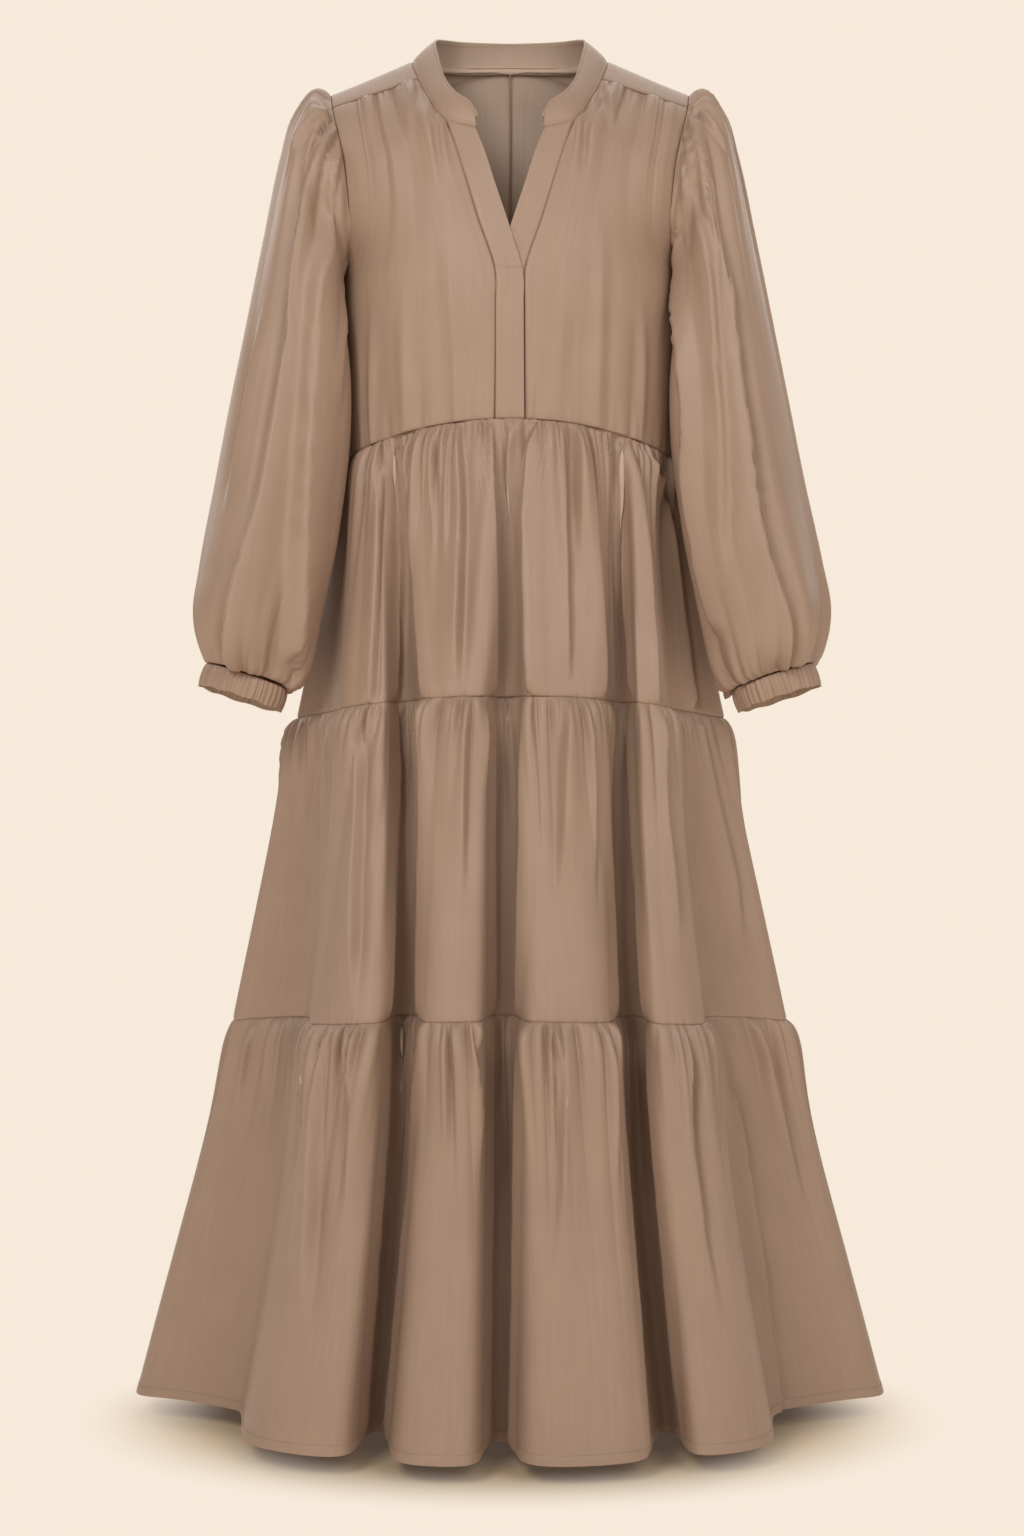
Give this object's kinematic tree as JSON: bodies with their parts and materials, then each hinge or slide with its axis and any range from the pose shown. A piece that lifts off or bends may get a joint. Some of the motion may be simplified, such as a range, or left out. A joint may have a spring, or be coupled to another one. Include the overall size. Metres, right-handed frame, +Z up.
{
  "type": "tiered maxi dress",
  "caption": "Long-sleeved maxi dress with a V neck, stand collar and gathered tiered skirt, filled out as worn, open at neck, hem and cuffs.",
  "frame": {"origin": "on the middle plane between the shoulders, level with the high shoulder points and above the shoulder line, where the wearer's shoulders hold the dress", "axes": "+Z up, the front faces -Y, +X to the wearer's left"},
  "size_m": [0.744, 0.5613, 1.366],
  "materials": {
    "bodice_crepe": "matte satin crepe",
    "collar_crepe": "matte satin crepe",
    "band_crepe": "matte satin crepe",
    "sleeve_crepe": "matte satin crepe",
    "cuff_crepe": "matte satin crepe",
    "skirt_crepe": "matte satin crepe"
  },
  "bodies": {
    "root": {"bodice_front_left": "bodice_crepe", "bodice_front_right": "bodice_crepe", "bodice_back_left": "bodice_crepe", "bodice_back_right": "bodice_crepe", "collar_stand": "collar_crepe", "placket_over": "band_crepe", "placket_under": "band_crepe", "sleeve_left": "sleeve_crepe", "sleeve_right": "sleeve_crepe", "cuff_left": "cuff_crepe", "cuff_right": "cuff_crepe", "tier_1_front": "skirt_crepe", "tier_1_back": "skirt_crepe", "tier_2_front": "skirt_crepe", "tier_2_back": "skirt_crepe", "tier_3_front": "skirt_crepe", "tier_3_back": "skirt_crepe"}
  },
  "joints": []
}
